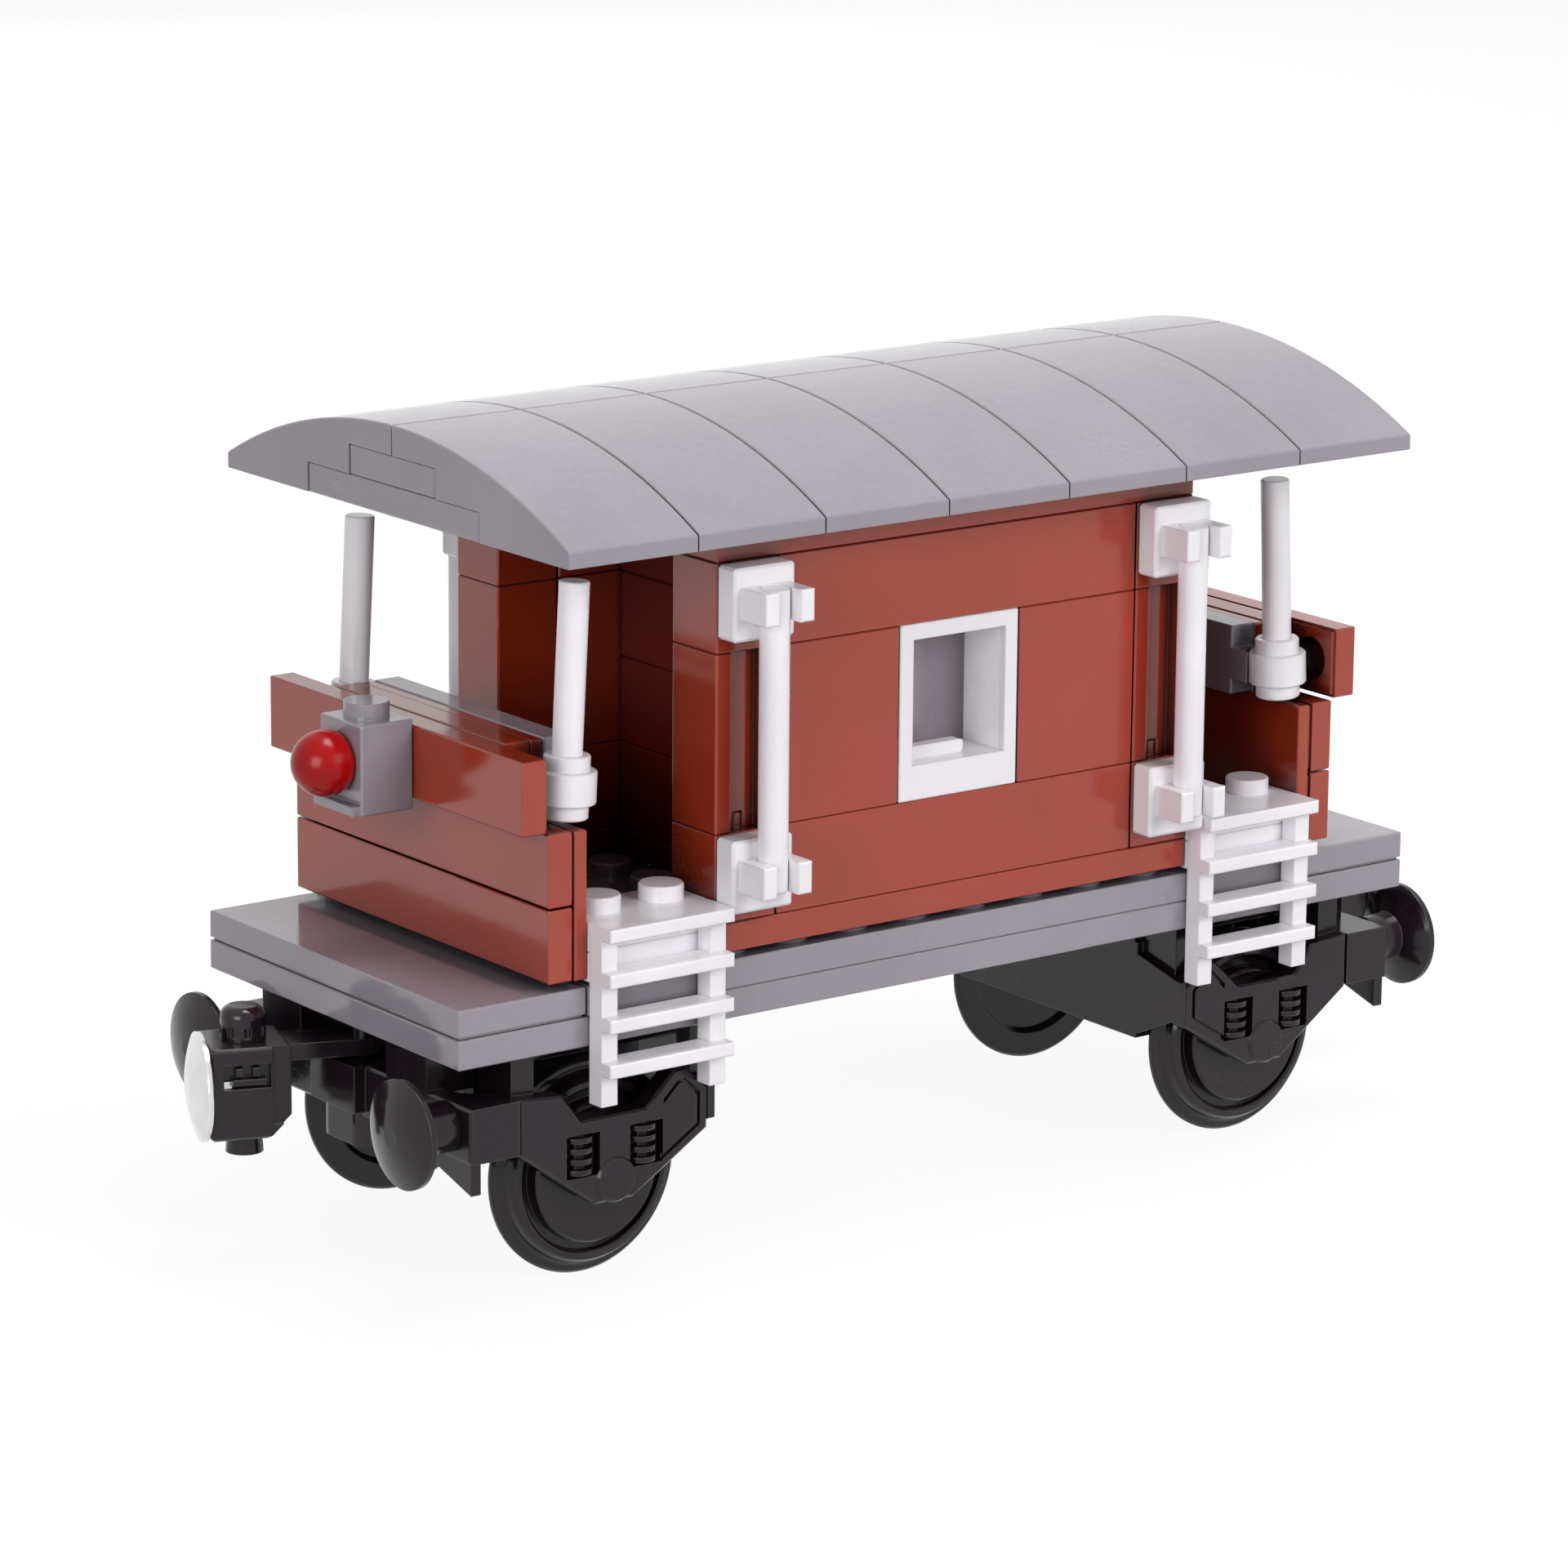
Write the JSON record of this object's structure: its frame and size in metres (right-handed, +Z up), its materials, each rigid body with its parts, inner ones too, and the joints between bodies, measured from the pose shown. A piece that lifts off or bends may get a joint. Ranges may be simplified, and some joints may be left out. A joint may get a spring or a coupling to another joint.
{
  "type": "toy caboose",
  "caption": "Four-wheeled toy railway caboose built from interlocking plastic bricks, with arched roof, end verandas, ladders, red lamp and magnetic couplers that swing.",
  "frame": {"origin": "centre of the deck in plan, on the plane of the rail tops under the wheels' flanges", "axes": "+X along the wagon towards the plain end (the lamp end is at -X), +Y across the wagon, +Z up"},
  "size_m": [0.1571, 0.0638, 0.0885],
  "materials": {
    "light_gray_plastic": "moulded, glossy",
    "white_plastic": "moulded, glossy",
    "brown_plastic": "moulded, glossy",
    "black_plastic": "moulded, glossy",
    "smoke_pane": "transparent smoke plastic",
    "red_lens": "transparent red plastic",
    "steel": "drawn wire",
    "polished_magnet": "polished plating"
  },
  "bodies": {
    "wagon": {"deck_base_plate": "light_gray_plastic", "deck_top_plate": "light_gray_plastic", "deck_end_tiles": "light_gray_plastic", "house_sill_plates": "brown_plastic", "wall_corner_bricks": "brown_plastic", "wall_long_bricks": "brown_plastic", "wall_tall_bricks": "brown_plastic", "wall_corner_columns": "brown_plastic", "window_frames": "white_plastic", "window_panes": "smoke_pane", "house_top_plates": "brown_plastic", "bulkhead_bricks": "brown_plastic", "bulkhead_plates": "brown_plastic", "roof_lower_plate": "light_gray_plastic", "roof_ridge_plate": "light_gray_plastic", "roof_slopes_near": "light_gray_plastic", "roof_slopes_far": "light_gray_plastic", "end_panel_brackets": "brown_plastic", "end_panel_tiles": "brown_plastic", "end_rail_plates": "brown_plastic", "end_rail_tiles": "brown_plastic", "post_clip_plates": "light_gray_plastic", "post_sleeves": "white_plastic", "veranda_posts": "white_plastic", "handrail_clip_tiles": "white_plastic", "handrails": "white_plastic", "ladder_spacer_plates": "white_plastic", "ladders": "white_plastic", "lamp_brick": "light_gray_plastic", "lamp_lens": "red_lens", "wheel_holders": "black_plastic", "buffer_beams": "black_plastic", "buffers": "black_plastic"},
    "front_wheelset": {"front_axle": "steel", "front_wheels": "black_plastic"},
    "rear_wheelset": {"rear_axle": "steel", "rear_wheels": "black_plastic"},
    "front_coupler": {"front_coupler_head": "black_plastic", "front_coupler_magnet": "polished_magnet", "front_coupler_pin": "black_plastic"},
    "rear_coupler": {"rear_coupler_head": "black_plastic", "rear_coupler_magnet": "polished_magnet", "rear_coupler_pin": "black_plastic"}
  },
  "joints": [
    {"name": "front_wheelset_spin", "type": "hinge", "parent": "wagon", "child": "front_wheelset", "pos_m": [-0.0444, 0, 0.0116], "axis": [0, 1, 0], "continuous": true},
    {"name": "rear_wheelset_spin", "type": "hinge", "parent": "wagon", "child": "rear_wheelset", "pos_m": [0.0444, 0, 0.0116], "axis": [0, 1, 0], "continuous": true},
    {"name": "front_coupler_swing", "type": "hinge", "parent": "wagon", "child": "front_coupler", "pos_m": [-0.0598, 0, 0.0235], "axis": [0, 0, 1], "range_deg": [0, 40]},
    {"name": "rear_coupler_swing", "type": "hinge", "parent": "wagon", "child": "rear_coupler", "pos_m": [0.0598, 0, 0.0235], "axis": [0, 0, 1], "range_deg": [-20, 20]}
  ]
}
